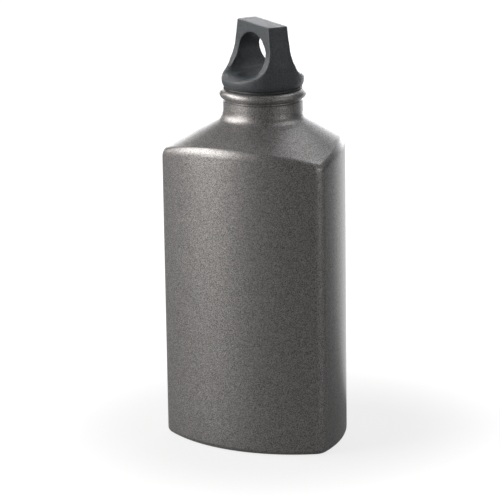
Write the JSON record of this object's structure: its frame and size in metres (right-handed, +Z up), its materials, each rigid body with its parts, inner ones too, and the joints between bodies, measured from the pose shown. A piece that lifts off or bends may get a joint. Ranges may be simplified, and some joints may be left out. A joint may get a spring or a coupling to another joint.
{
  "type": "aluminium drinks bottle",
  "caption": "Rigid aluminium drinks bottle with a three-sided body, arched shoulder crease and round neck, closed by a screw cap with a carrying eye.",
  "frame": {"origin": "on the ground, at the middle of the bottle's footprint", "axes": "+Z up along the bottle; -Y towards the wide face between the two front corners; one corner points to +Y; +X to the right of someone facing that wide face"},
  "size_m": [0.0758, 0.0768, 0.1774],
  "materials": {
    "speckled_coated_aluminium": "fine-grained satin coat",
    "dark_silicone": "matt",
    "dark_grey_plastic": "satin",
    "satin_dark_grey_plastic": "satin"
  },
  "bodies": {
    "bottle": {"bottle_shell": "speckled_coated_aluminium"},
    "seal": {"sealing_gasket": "dark_silicone"},
    "cap": {"threaded_stopper": "dark_grey_plastic", "cap_loop_top": "satin_dark_grey_plastic"}
  },
  "joints": [
    {"name": "cap_lift", "type": "slide", "parent": "bottle", "child": "seal", "axis": [0, 0, 1], "range_m": [0, 0.016]},
    {"name": "cap_turn", "type": "hinge", "parent": "seal", "child": "cap", "pos_m": [0, -0.00425, 0.1519], "axis": [0, 0, 1], "range_deg": [0, 1440]}
  ],
  "couplings": [
    {"joint": "cap_turn", "follows": "cap_lift", "rad_per_m": 1570.8}
  ]
}
